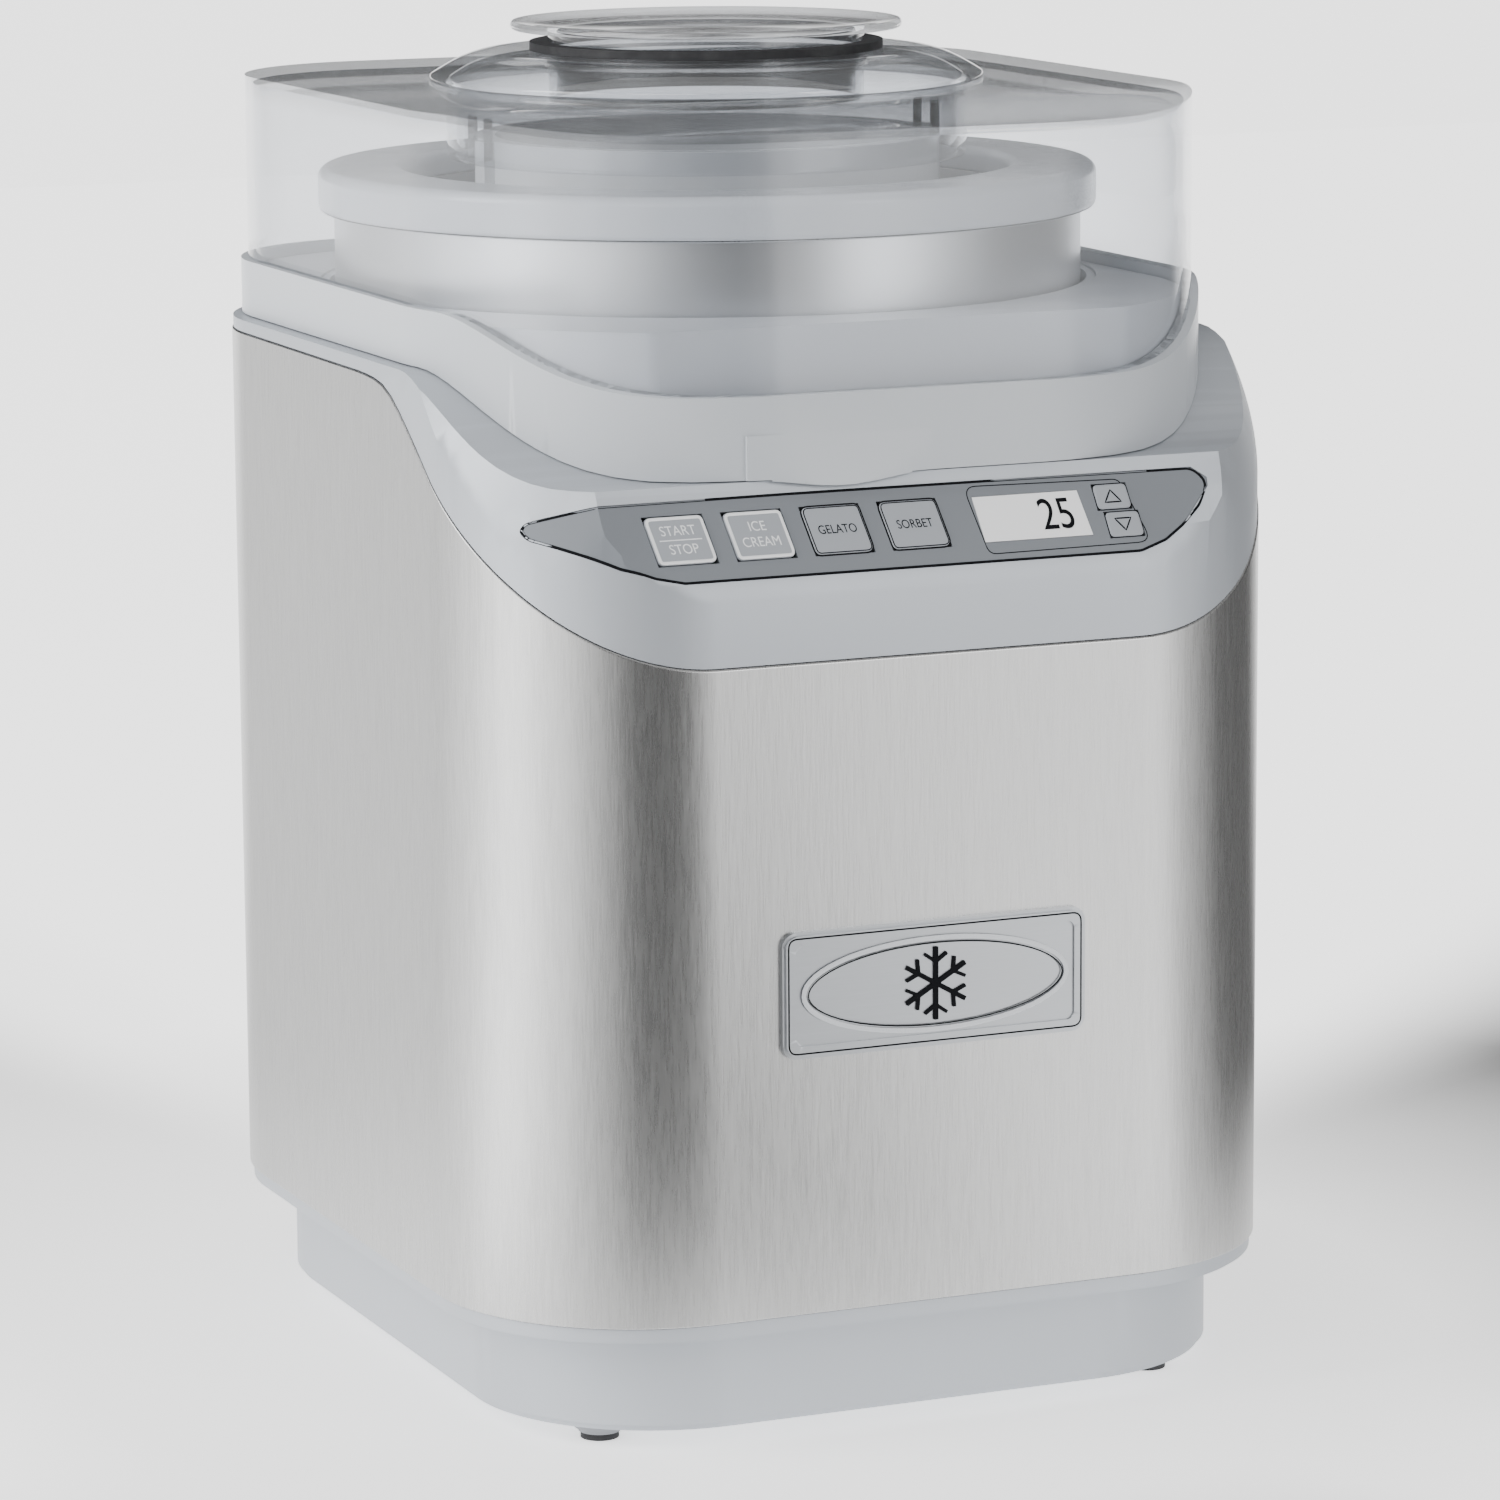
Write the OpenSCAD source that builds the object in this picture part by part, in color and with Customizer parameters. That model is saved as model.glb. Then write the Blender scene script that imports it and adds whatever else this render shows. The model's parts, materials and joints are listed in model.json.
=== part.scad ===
// Counter-top ice cream maker with a steel wrapped body, a slanted key panel, a chilled bowl that
// turns on a geared drive, a paddle held still by a clear lid, and a lift-off pouring cap.
// Origin: centre of the footprint at the underside of the feet. +Z up, front faces -Y, mm.

/* [Body] */
// Overall width of the steel body
body_w = 205; // [170:1:250]
// Overall depth of the steel body
body_d = 227; // [190:1:275]
// Front corner radius of the steel body
front_r = 50; // [35:1:60]
// Rear corner radius of the steel body
rear_r = 50; // [20:1:60]
// Height of the lower edge of the steel
steel_z0 = 32.3; // [28:0.5:40]
// Height of the steel at the sides and rear
steel_side_z = 242.5; // [220:1:280]
// Height of the steel across the front
steel_front_z = 182.6; // [160:1:200]
// Depth over which the steel's upper edge slopes down to the front
cut_run = 76.5; // [60:1:95]
// How far that sloping edge bows upwards
cut_crown = 0.13; // [0:0.01:0.2]
// Softness of the bend where the sloping edge meets the level edge
cut_soft = 5; // [2:0.5:8]
// Half width of the panel let into the back
rear_half = 46; // [36:1:50]
// Sheet thickness of the steel
steel_t = 0.8; // [0.5:0.1:1.2]
// Height of the crease where the front starts to lean back
crease_z = 197.5; // [190:1:205]
// Height of the housing's front under the lid
front_top_z = 223; // [215:0.1:235]
// Height of the housing's deck at the sides under the lid
deck_z = 245.4; // [240:1:284]
// How far the top of the key panel leans back
lean = 10; // [3:0.5:13]
// Wall of the moulded parts
wall = 3; // [2:0.1:4]
// Clearance between parts that meet
gap = 0.3; // [0.2:0.05:0.5]

/* [Base] */
// Width of the base tray
tray_w = 185; // [150:1:230]
// Depth of the base tray
tray_d = 208.5; // [170:1:250]
// Corner radius of the base tray
tray_r = 46; // [30:1:55]
// Height of the feet
foot_h = 5; // [4:0.1:10]
// Radius of each foot
foot_r = 6; // [5:0.5:10]

/* [Bowl] */
// Distance from the front of the body to the axis of the bowl
bowl_set = 129; // [118.5:0.5:129.5]
// Outer radius of the bowl's rim
rim_r = 93.8; // [80:0.1:94]
// Outer radius of the bowl
bowl_r = 90; // [75:0.5:90]
// Wall of the double-walled bowl, outside to inside
bowl_wall = 16; // [12:0.5:20]
// Height of the bowl's underside
bowl_z0 = 118.5; // [115:0.5:125]
// Height of the top of the bowl's rim
rim_z = 283.8; // [280:0.1:292]
// Height of the bowl's rim band
rim_h = 10.6; // [8:0.1:14]
// Radial clearance of the bowl in its well
well_gap = 1.5; // [1:0.1:3]

/* [Lid] */
// Width of the clear lid
lid_w = 193; // [192:1:236]
// Depth of the clear lid
lid_d = 214; // [206:1:262]
// Front corner radius of the lid
lid_fr = 66; // [50:1:75]
// Rear corner radius of the lid
lid_br = 43; // [20:1:55]
// Height of the lid's top at the rear
lid_z = 303.6; // [300:0.1:320]
// Drop of the lid's top at the front
lid_drop = 3.4; // [0:0.5:8]
// Wall of the clear lid
lid_t = 2; // [1.8:0.1:2.6]
// Height of the clear part's lower edge at the sides
wave_side_z = 259; // [252:0.1:264]
// Height of the clear part's lower edge at the front
wave_front_z = 242; // [235:0.1:250]
// Width of the curved finger lip under the band's front edge
tab_w = 46; // [30:1:60]
// Sideways place of the finger lip
tab_x = -18; // [-20:1:20]
// How far the finger lip hangs below the band
tab_drop = 2; // [1:0.1:3]
// How far the finger lip stands out from the band
tab_out = 1.7; // [1.3:0.1:2.5]
// Radius of the raised collar on the lid
collar_r = 66.6; // [58:0.1:72]
// Height of the collar's top
collar_z = 311; // [307:0.5:318]
// Radius of the cap's neck
neck_r = 38; // [30:0.1:44]
// Radius of the cap's disc
cap_r = 47.3; // [42:0.1:54]
// Height of the cap's top
cap_z = 318; // [314:0.5:326]

/* [Drive] */
// Gear module
gear_m = 1; // [0.8:0.1:1.2]
// Teeth of the two large gears
big_n = 56; // [48:1:60]
// Teeth of the two pinions
small_n = 14; // [12:1:16]
// Angle of the motor around the idler's axis
motor_a = 45; // [30:5:60]
// Radius of the drive spindle
spindle_r = 5; // [4:0.5:6]
// Radius of the idler pin and motor shaft
pin_r = 2.5; // [2:0.1:3]
// Radial running clearance
run = 0.05; // [0.02:0.01:0.09]
// Radius of the motor can
motor_r = 27; // [22:0.5:30]

/* [Panel] */
// Width of one function key
key_w = 14.2; // [10:0.1:16]
// Height of one function key
key_h = 11.1; // [8:0.1:14]
// Pitch of the function keys
key_pitch = 19.05; // [16:0.1:22]
// Sideways lean of the keys over their height
key_lean = 2.5; // [0:0.1:6]
// Left edge of the first key
key_x0 = -67.3; // [-75:0.1:-60]
// Distance of the keys' lower edge up the slope
key_s0 = 9.6; // [8:0.1:11]
// Travel of a key
key_travel = 0.6; // [0.3:0.1:1]
// Width of the name plate
badge_w = 75.8; // [50:1:100]
// Height of the name plate
badge_h = 29.2; // [20:1:40]
// Height of the name plate's centre
badge_z = 107; // [90:0.5:130]

/* [Hidden] */
$fn = 96;
front_y = -body_d/2;
back_y = body_d/2;
bowl_y = front_y + bowl_set;
slope_a = atan2(lean, front_top_z - crease_z);
slope_len = sqrt(lean*lean + pow(front_top_z - crease_z, 2));
lid_y = (front_y + lean + 1.5 + lid_d/2);
lid_front = lid_y - lid_d/2;
band_w = lid_w + 3.5;
band_front = lid_y - lid_d/2 - 1.75;
dome_y = front_y + body_w/2;
dome_r0 = (body_w/2 - front_r)*sqrt(2) + front_r;
well_r = bowl_r + well_gap;
well_floor = bowl_z0 - 3.5;
plat_z = deck_z + 11;
idler_d = gear_m*(big_n + small_n)/2;
box_z = 72;
box_top = 100;
inner_r = bowl_r - bowl_wall;
floor_z = bowl_z0 + 20;

// Rounded outline with its own radii at the front and the rear corners.
module plan(w, d, rf, rb, yc = 0) {
  y0 = yc - d/2;
  y1 = yc + d/2;
  translate([-w/2, y0 + rf]) square([w, d - rf - rb]);
  translate([-w/2 + rf, y0]) square([w - 2*rf, d - rb]);
  translate([-w/2 + rb, y1 - rb - 1]) square([w - 2*rb, rb + 1]);
  for (s = [-1, 1]) {
    translate([s*(w/2 - rf), y0 + rf]) circle(rf);
    translate([s*(w/2 - rb), y1 - rb]) circle(rb);
  }
}

// Body outline moved inwards by a distance.
module body_plan(inset = 0) {
  plan(body_w - 2*inset, body_d - 2*inset, front_r - inset, rear_r - inset);
}

// Lid outline moved inwards by a distance.
module lid_plan(inset = 0) {
  plan(lid_w - 2*inset, lid_d - 2*inset, lid_fr - inset, lid_br - inset, lid_y);
}

// A slab as wide as the machine with the given outline in the Y-Z plane.
module side_slab(points) {
  rotate([90, 0, 90]) linear_extrude(height = 2*body_w, center = true) polygon(points);
}

// Smooth step between 0 and 1.
function ease(t) = t <= 0 ? 0 : t >= 1 ? 1 : (1 - cos(180*t))/2;

// Points of a line that is level at the rear and eases down to its front height.
function eased(front, span, z_front, z_side, dy = 0) =
  [for (i = [0:14]) [front + span*i/14 + dy, z_front + (z_side - z_front)*ease(i/14)]];

// Height of the steel's upper edge: a slightly crowned slope that rounds over into the level rear.
function cut_z(y) = let (
  u = (y - front_y)/cut_run,
  over = (steel_side_z - steel_front_z)*(u + cut_crown*u*(1 - u) - 1))
  steel_side_z + (over - sqrt(over*over + cut_soft*cut_soft))/2;

// The steel's upper edge as a line in the Y-Z plane, from the front to the rear.
function cut_line(dz = 0) = concat(
  [[front_y - 5, cut_z(front_y) + dz]],
  [for (i = [0:17]) let (y = front_y + cut_run*1.25*i/17) [y, cut_z(y) + dz]],
  [[back_y + 5, steel_side_z + dz]]);

// Top line of the housing, moved inwards by d: the leaning front, then the deck under the lid.
function deck_line(d = 0) = concat(
  [[front_y + gap + d, crease_z - d*tan(slope_a/2)]],
  [[front_y + gap + (front_top_z - d - crease_z)*tan(slope_a) + d/cos(slope_a), front_top_z - d]],
  eased(lid_front + 2, 54, front_top_z - d, deck_z - d, d),
  [[back_y + 5, deck_z - d]]);

// Rounds off the two front corners as they rise to the lid; the rear half stays square.
module corner_dome(d = 0) {
  n = 12;
  z1 = deck_z + 1;
  translate([0, dome_y, 0]) rotate_extrude($fn = 144) polygon(concat(
    [[0, 100]], [[dome_r0 - d, 100]],
    [for (i = [0:n]) [dome_r0 - d - 13.5*pow(i/n, 1.8), 200 + (z1 - 200)*i/n]],
    [[0, z1]]));
  translate([-body_w, dome_y + 40, 100]) cube([2*body_w, body_d, z1 - 100]);
}

// The housing's filled shape, moved inwards by a distance.
module housing_solid(d = 0) {
  intersection() {
    translate([0, 0, 150]) linear_extrude(height = 120) body_plan(gap + d);
    side_slab(concat(deck_line(d), [[back_y + 5, 150]], [[front_y + gap + d, 150]]));
    corner_dome(d);
  }
}

// Places children on the leaning front: X across, Y up the slope, Z outwards.
module on_slope() {
  translate([0, front_y + gap, crease_z]) rotate([90 - slope_a, 0, 0]) children();
}

// Outline of a key, leaning to the right towards its lower edge.
module key_shape(grow = 0) {
  polygon([[-grow, key_h + grow], [key_w + grow, key_h + grow],
    [key_w + key_lean + grow, -grow], [key_lean - grow, -grow]]);
}

// Position of function key i on the slope.
module at_key(i) {
  on_slope() translate([key_x0 + key_pitch*i, key_s0, 0]) children();
}

// Outline of the two arrow keys and their places.
module arrow_shape(grow = 0) {
  polygon([[-4.4 - grow, 2.9 + grow], [4 + grow, 2.9 + grow], [4.9 + grow, -2.9 - grow],
    [-3.6 - grow, -2.9 - grow]]);
}
module at_arrow(up) {
  on_slope() translate(up ? [48.2, 18.4, 0] : [50.3, 11.8, 0]) children();
}

// Outline of the clear window over the display.
module window_shape(grow = 0) {
  polygon([[13.4 - grow, 20.4 + grow], [39.8 + grow, 20.4 + grow],
    [42.2 + grow, 9.8 - grow], [15.1 - grow, 9.8 - grow]]);
}

// Boat-shaped outline of the key panel on the slope.
module panel_shape(grow = 0) {
  polygon([[-90 - grow, 20.5], [-91 - grow, 23], [-89 - grow, 24 + grow], [69.5 + grow, 24 + grow],
    [73.2 + grow, 21.5], [73.2 + grow, 19.5], [65.3 + grow, 10.7], [60.4 + grow, 7.5],
    [53.7 + grow, 5.4 - grow], [-59.3, 5.4 - grow], [-66, 6.8 - grow], [-73.6 - grow, 9.8],
    [-81.4 - grow, 14.4]]);
}

// Flat toothed disc; the teeth are slim so that pairs run with backlash.
module gear_shape(n) {
  r = gear_m*n/2;
  p = 360/n;
  polygon([for (i = [0:n - 1], k = [0:3]) let (
    rr = (k == 0 || k == 3) ? r - 1.2*gear_m : r + 0.85*gear_m,
    h = (k == 0 || k == 3) ? 0.92*gear_m/r : 0.28*gear_m/r,
    a = p*i + ((k < 2) ? -1 : 1)*h*57.3) [rr*cos(a), rr*sin(a)]]);
}

// Drive axes: spindle on the bowl's axis, idler in front of it, motor beside both.
module on_bowl() {
  translate([0, bowl_y, 0]) children();
}
module on_idler() {
  translate([0, bowl_y - idler_d, 0]) children();
}
module on_motor() {
  translate([idler_d*cos(motor_a), bowl_y - idler_d + idler_d*sin(motor_a), 0]) children();
}

// Corners of the gearbox flange.
module at_posts() {
  for (x = [-1, 1], y = [bowl_y - idler_d - 36, bowl_y + 36]) translate([x*42, y, 0]) children();
}

module ring(ro, ri, z0, z1) {
  translate([0, 0, z0]) difference() {
    cylinder(r = ro, h = z1 - z0);
    translate([0, 0, -1]) cylinder(r = ri, h = z1 - z0 + 2);
  }
}

module base_tray() {
  lip_z = steel_z0 - gap;
  color([0.74, 0.76, 0.79]) {
    difference() {
      union() {
        translate([0, 0, foot_h + 1.5]) linear_extrude(height = lip_z - foot_h - 2)
          plan(tray_w, tray_d, tray_r, tray_r);
        translate([0, 0, foot_h]) linear_extrude(height = 2)
          plan(tray_w - 2.4, tray_d - 2.4, tray_r - 1.2, tray_r - 1.2);
        translate([0, 0, lip_z - 4]) linear_extrude(height = 4) body_plan(2.2);
        translate([0, 0, lip_z - 3.2]) linear_extrude(height = 3.2) body_plan(1);
        translate([0, 0, lip_z - 0.5]) linear_extrude(height = 8) body_plan(steel_t + 0.4);
      }
      translate([0, 0, foot_h + wall]) linear_extrude(height = 60)
        plan(tray_w - 2*wall, tray_d - 2*wall, tray_r - wall, tray_r - wall);
      translate([0, 0, lip_z]) linear_extrude(height = 60) body_plan(steel_t + 0.4 + 2);
      for (i = [-6:6]) translate([i*8, -62, foot_h + 1.5])
        cube([3, 34, 8], center = true);
      for (i = [-6:6]) translate([i*8, 66, foot_h + 1.5])
        cube([3, 26, 8], center = true);
      at_posts() translate([0, 0, foot_h - 1]) cylinder(r = 2.1, h = 12, $fn = 32);
    }
    at_posts() difference() {
      translate([0, 0, foot_h + wall - 0.5]) cylinder(r = 5, h = box_z - foot_h - wall + 0.5, $fn = 32);
      translate([0, 0, box_z - 14]) cylinder(r = 1.4, h = 15, $fn = 32);
      translate([0, 0, foot_h - 1]) cylinder(r = 2.1, h = 12, $fn = 32);
    }
  }
}

module at_feet() {
  k = (tray_r - 2*foot_r)*0.7071;
  for (x = [-1, 1], y = [-1, 1])
    translate([x*(tray_w/2 - tray_r + k), y*(tray_d/2 - tray_r + k), 0]) children();
}

module feet() {
  color([0.6, 0.62, 0.65]) at_feet() {
    translate([0, 0, 1.6]) cylinder(r = foot_r - 1, h = foot_h - 1.6, $fn = 48);
    translate([0, 0, 2.6]) cylinder(r = foot_r, h = foot_h - 2.6, $fn = 48);
  }
}

module foot_pads() {
  color([0.1, 0.1, 0.1]) at_feet() cylinder(r = foot_r - 1.5, h = 1.6, $fn = 48);
}

module base_screws() {
  color([0.55, 0.55, 0.57]) at_posts() {
    translate([0, 0, foot_h + 0.6]) cylinder(r = 2, h = 2, $fn = 32);
    translate([0, 0, foot_h + 2.6]) cylinder(r = 1.2, h = 8, $fn = 24);
  }
}

module steel_wrap() {
  color([0.72, 0.71, 0.69]) difference() {
    intersection() {
      translate([0, 0, steel_z0]) linear_extrude(height = 230) difference() {
        body_plan(0);
        body_plan(steel_t);
      }
      side_slab(concat(cut_line(), [[back_y + 5, 0]], [[front_y - 5, 0]]));
    }
    translate([-rear_half - gap, back_y - 8, 0]) cube([2*(rear_half + gap), 20, 300]);
  }
}

module rear_panel() {
  z0 = steel_z0 + 9;
  z1 = steel_side_z - 8;
  color([0.7, 0.72, 0.75]) difference() {
    union() {
      translate([-rear_half, back_y - 2.4, z0 - 8.8]) cube([2*rear_half, 2.4, z1 - z0 + 16]);
      translate([-rear_half - 6, back_y - steel_t - 0.3 - 1.5, z0])
        cube([2*rear_half + 12, 1.5, z1 - z0]);
    }
    translate([-rear_half - 8, back_y - 5, z0 - 10]) cube([2*rear_half + 16, 3.8, 10 + gap]);
    for (i = [0:8]) translate([0, back_y, 78 + i*9]) cube([56, 12, 3], center = true);
    translate([24, back_y - 10, 54]) rotate([-90, 0, 0]) cylinder(r = 8.2, h = 20);
  }
}

module cord_gland() {
  color([0.12, 0.12, 0.13]) translate([24, back_y, 54]) rotate([-90, 0, 0]) difference() {
    union() {
      translate([0, 0, -3.8]) cylinder(r = 8, h = 5);
      translate([0, 0, gap]) cylinder(r = 10.5, h = 1.5);
      translate([0, 0, -6]) cylinder(r = 10.5, h = 1.8);
      translate([0, 0, -5]) cylinder(r = 8, h = 3);
    }
    translate([0, 0, -20]) cylinder(r = 3.6, h = 40);
  }
}

module upper_housing() {
  color([0.77, 0.79, 0.82]) difference() {
    union() {
      intersection() {
        housing_solid();
        side_slab(concat(cut_line(gap), [[back_y + 5, 300]], [[front_y - 5, 300]]));
      }
      intersection() {
        housing_solid(steel_t + 0.4 - gap);
        translate([0, 0, 150]) linear_extrude(height = 120) body_plan(steel_t + 0.4);
        side_slab(concat(cut_line(-12), [[back_y + 5, 300]], [[front_y - 5, 300]]));
      }
    }
    intersection() {
      housing_solid(wall);
      translate([0, 0, 100]) linear_extrude(height = 200) body_plan(wall + 0.4);
    }
    on_bowl() translate([0, 0, 100]) cylinder(r = well_r + 2 + gap, h = 200);
    intersection() {
      on_slope() translate([0, 0, -28]) linear_extrude(height = 32) panel_shape(0.15);
      difference() {
        housing_solid(-3);
        housing_solid(1.35);
      }
    }
    for (i = [0:3]) at_key(i) translate([0, 0, -6]) linear_extrude(height = 12) key_shape(0.6);
    for (u = [true, false]) at_arrow(u) translate([0, 0, -6]) linear_extrude(height = 12)
      arrow_shape(0.45);
    on_slope() translate([0, 0, -6]) linear_extrude(height = 12) window_shape(-0.8);
    translate([-rear_half - 8, back_y - 6, 150])
      cube([2*rear_half + 16, 10, steel_side_z - 150 + gap]);
  }
}

// Raised platform that fills the lid's footprint round the bowl.
module bowl_platform() {
  inset = lid_t + 0.5;
  color([0.78, 0.8, 0.83]) difference() {
    intersection() {
      translate([0, 0, 180]) linear_extrude(height = plat_z - 180) lid_plan(inset);
      side_slab(concat(
        [for (p = deck_line(0)) [p[0], p[1] + gap]], [[back_y + 5, 300]], [[front_y, 300]]));
      translate([-100, front_y + 20, 0]) cube([200, body_d, 400]);
    }
    intersection() {
      translate([0, 0, 150]) linear_extrude(height = plat_z - wall - 150) lid_plan(inset + 2);
      translate([-100, front_y + 22, 0]) cube([200, body_d, 400]);
    }
    on_bowl() translate([0, 0, 150]) cylinder(r = well_r + 2 + gap, h = 200);
  }
}

module bowl_well() {
  color([0.76, 0.78, 0.81]) on_bowl() ring(well_r + 2, well_r, well_floor, plat_z - 0.4);
}

module well_base() {
  color([0.76, 0.78, 0.81]) on_bowl() ring(well_r + 2, spindle_r + 5, well_floor - wall, well_floor);
}

module well_seal() {
  color([0.09, 0.09, 0.09]) on_bowl() {
    ring(spindle_r + 4.7, spindle_r + 0.4, well_floor - wall, well_floor);
    ring(spindle_r + 7, spindle_r + 0.4, well_floor + 0.05, well_floor + 0.45);
  }
}

module control_panel() {
  color([0.8, 0.82, 0.85]) difference() {
    intersection() {
      on_slope() translate([0, 0, -28]) linear_extrude(height = 32) panel_shape(0);
      difference() {
        housing_solid(0);
        housing_solid(1.3);
      }
    }
    for (i = [0:3]) at_key(i) translate([0, 0, -6]) linear_extrude(height = 12) key_shape(0.25);
    for (u = [true, false]) at_arrow(u) translate([0, 0, -6]) linear_extrude(height = 12)
      arrow_shape(0.25);
    on_slope() translate([0, 0, -6]) linear_extrude(height = 12) window_shape(0.1);
  }
}

module lcd_lens() {
  color([0.95, 0.96, 0.97, 0.6]) on_slope() translate([0, 0, -1.3]) linear_extrude(height = 1.4)
    window_shape(0);
}

module lcd_module() {
  color([0.85, 0.88, 0.86]) on_slope() difference() {
    translate([9, 6, -8]) cube([36, 17, 4.4]);
    translate([13, 9, -4.2]) cube([28, 12, 2]);
  }
}

module key_stem(z0 = -8.6) {
  translate([0, 0, z0]) cylinder(r = 1.6, h = -z0 - 1, $fn = 32);
}

module function_key(i) {
  at_key(i) {
    translate([0, 0, -1.6]) linear_extrude(height = 2) key_shape(0);
    translate([key_w/2 + key_lean/2, key_h/2, 0]) key_stem();
  }
}

module arrow_key(up) {
  at_arrow(up) {
    translate([0, 0, -1.6]) linear_extrude(height = 2) arrow_shape(0);
    key_stem();
  }
}

module key_start() {
  color([0.83, 0.84, 0.87]) function_key(0);
}
module key_ice_cream() {
  color([0.83, 0.84, 0.87]) function_key(1);
}
module key_gelato() {
  color([0.83, 0.84, 0.87]) function_key(2);
}
module key_sorbet() {
  color([0.83, 0.84, 0.87]) function_key(3);
}
module key_up() {
  color([0.83, 0.84, 0.87]) arrow_key(true);
}
module key_down() {
  color([0.83, 0.84, 0.87]) arrow_key(false);
}

module key_board() {
  color([0.05, 0.35, 0.15]) {
    on_slope() difference() {
      translate([-68, 3, -14.4]) cube([126, 20, 1.6]);
      for (x = [-64, 54]) translate([x, 13, -20]) cylinder(r = 1.6, h = 20, $fn = 24);
    }
    for (i = [0:3]) at_key(i) translate([key_w/2 + key_lean/2, key_h/2, -12.8]) tact_switch();
    for (u = [true, false]) at_arrow(u) translate([0, 0, -12.8]) tact_switch();
    on_slope() translate([10, 7, -12.8]) cube([30, 14, 4.6]);
  }
}

module tact_switch() {
  translate([-3, -3, 0]) cube([6, 6, 2.2]);
  translate([0, 0, 2.2]) cylinder(r = 1.5, h = 1.1, $fn = 24);
}

module power_board() {
  color([0.05, 0.3, 0.14]) translate([-44, tray_d/2 - 24, foot_h + wall]) {
    translate([0, 0, 2]) cube([88, 1.6, 52]);
    translate([2, 1.6, 0]) cube([6, 4, 12]);
    translate([80, 1.6, 0]) cube([6, 4, 12]);
    translate([8, -15, 8]) cube([26, 15, 22]);
    translate([44, -12, 8]) cube([16, 12, 14]);
    translate([70, -9, 16]) rotate([-90, 0, 0]) cylinder(r = 7, h = 9, $fn = 48);
    translate([46, -7, 34]) cube([30, 7, 12]);
  }
}

module badge_outline(inset = 0) {
  r = 3.4 - inset*0.5;
  w = badge_w - 2*inset;
  h = badge_h - 2*inset;
  square([w - 2*r, h], center = true);
  square([w, h - 2*r], center = true);
  for (x = [-1, 1], y = [-1, 1]) translate([x*(w/2 - r), y*(h/2 - r)]) circle(r, $fn = 48);
}

module on_badge() {
  translate([0, front_y, badge_z]) rotate([90, 0, 0]) children();
}

module badge_plate() {
  color([0.82, 0.82, 0.82]) on_badge() difference() {
    union() {
      linear_extrude(height = 1.2) badge_outline();
      linear_extrude(height = 1.8) badge_outline(0.7);
    }
    translate([0, 0, 1.3]) linear_extrude(height = 2) badge_outline(3);
  }
}

module badge_emblem() {
  color([0.35, 0.36, 0.38]) on_badge() translate([0, 0, 1.3]) linear_extrude(height = 0.5) {
    for (a = [0:60:120]) rotate(a) square([1.1, 17], center = true);
    for (a = [0:60:300]) rotate(a) translate([0, 5]) for (s = [-1, 1])
      rotate(s*55) translate([-0.4, 0]) square([0.8, 3.4]);
  }
}

// Outline shared by the gearbox tray and its cover.
module box_plan(grow = 0) {
  r = 14;
  x = 38 + grow;
  y0 = bowl_y - idler_d - 34 - grow;
  y1 = bowl_y + 34 + grow;
  translate([-x + r, y0]) square([2*(x - r), y1 - y0]);
  translate([-x, y0 + r]) square([2*x, y1 - y0 - 2*r]);
  for (s = [-1, 1], y = [y0 + r, y1 - r]) translate([s*(x - r), y]) circle(r, $fn = 64);
}

module gearbox_base() {
  color([0.25, 0.26, 0.28]) difference() {
    union() {
      translate([0, 0, box_z]) linear_extrude(height = box_top - box_z) box_plan();
      at_posts() translate([0, 0, box_z]) cylinder(r = 6, h = wall, $fn = 48);
      at_posts() translate([-8, -8, box_z]) cube([16, 16, wall]);
    }
    translate([0, 0, box_z + wall]) linear_extrude(height = 40) box_plan(-wall);
    on_motor() translate([0, 0, box_z - 1]) cylinder(r = pin_r + 4, h = 10);
    on_idler() translate([0, 0, box_z - 1]) cylinder(r = pin_r, h = 10, $fn = 48);
    on_bowl() translate([0, 0, box_z - 1]) cylinder(r = 3 + run, h = 20, $fn = 48);
    at_posts() translate([0, 0, box_z - 1]) cylinder(r = 1.8, h = 10, $fn = 32);
  }
}

module gearbox_cover() {
  color([0.28, 0.29, 0.31]) difference() {
    translate([0, 0, box_top]) linear_extrude(height = wall) box_plan();
    on_bowl() translate([0, 0, box_top - 1]) cylinder(r = spindle_r + 3, h = 10);
    on_idler() translate([0, 0, box_top - 1]) cylinder(r = pin_r, h = 10, $fn = 48);
  }
}

module gearbox_screws() {
  color([0.6, 0.6, 0.62]) at_posts() {
    translate([0, 0, box_z + wall]) cylinder(r = 3, h = 1.8, $fn = 32);
    translate([0, 0, box_z - 9]) cylinder(r = 1.2, h = 12, $fn = 24);
  }
}

module idler_pin() {
  color([0.62, 0.62, 0.64]) on_idler() translate([0, 0, box_z])
    cylinder(r = pin_r, h = box_top + wall - box_z, $fn = 48);
}

module spindle_bush() {
  color([0.72, 0.55, 0.3]) on_bowl() {
    ring(spindle_r + 3, spindle_r + run, box_top, box_top + wall);
    ring(spindle_r + 5, spindle_r + run, box_top + wall, box_top + wall + 2);
  }
}

module motor_can() {
  color([0.6, 0.61, 0.63]) on_motor() {
    ring(motor_r, motor_r - 1.5, 24, box_z - 1.5);
    ring(motor_r, pin_r + 2, box_z - 1.5, box_z);
    for (a = [0:90:270]) rotate(a) translate([motor_r - 5.2, -6, 30]) cube([4, 12, 34]);
  }
}

module motor_end_cap() {
  color([0.2, 0.2, 0.22]) on_motor() difference() {
    union() {
      translate([0, 0, 20]) cylinder(r = motor_r, h = 4);
      translate([0, 0, 16]) cylinder(r = 7, h = 5);
    }
    translate([0, 0, 18]) cylinder(r = pin_r + run, h = 10, $fn = 48);
  }
}

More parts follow.
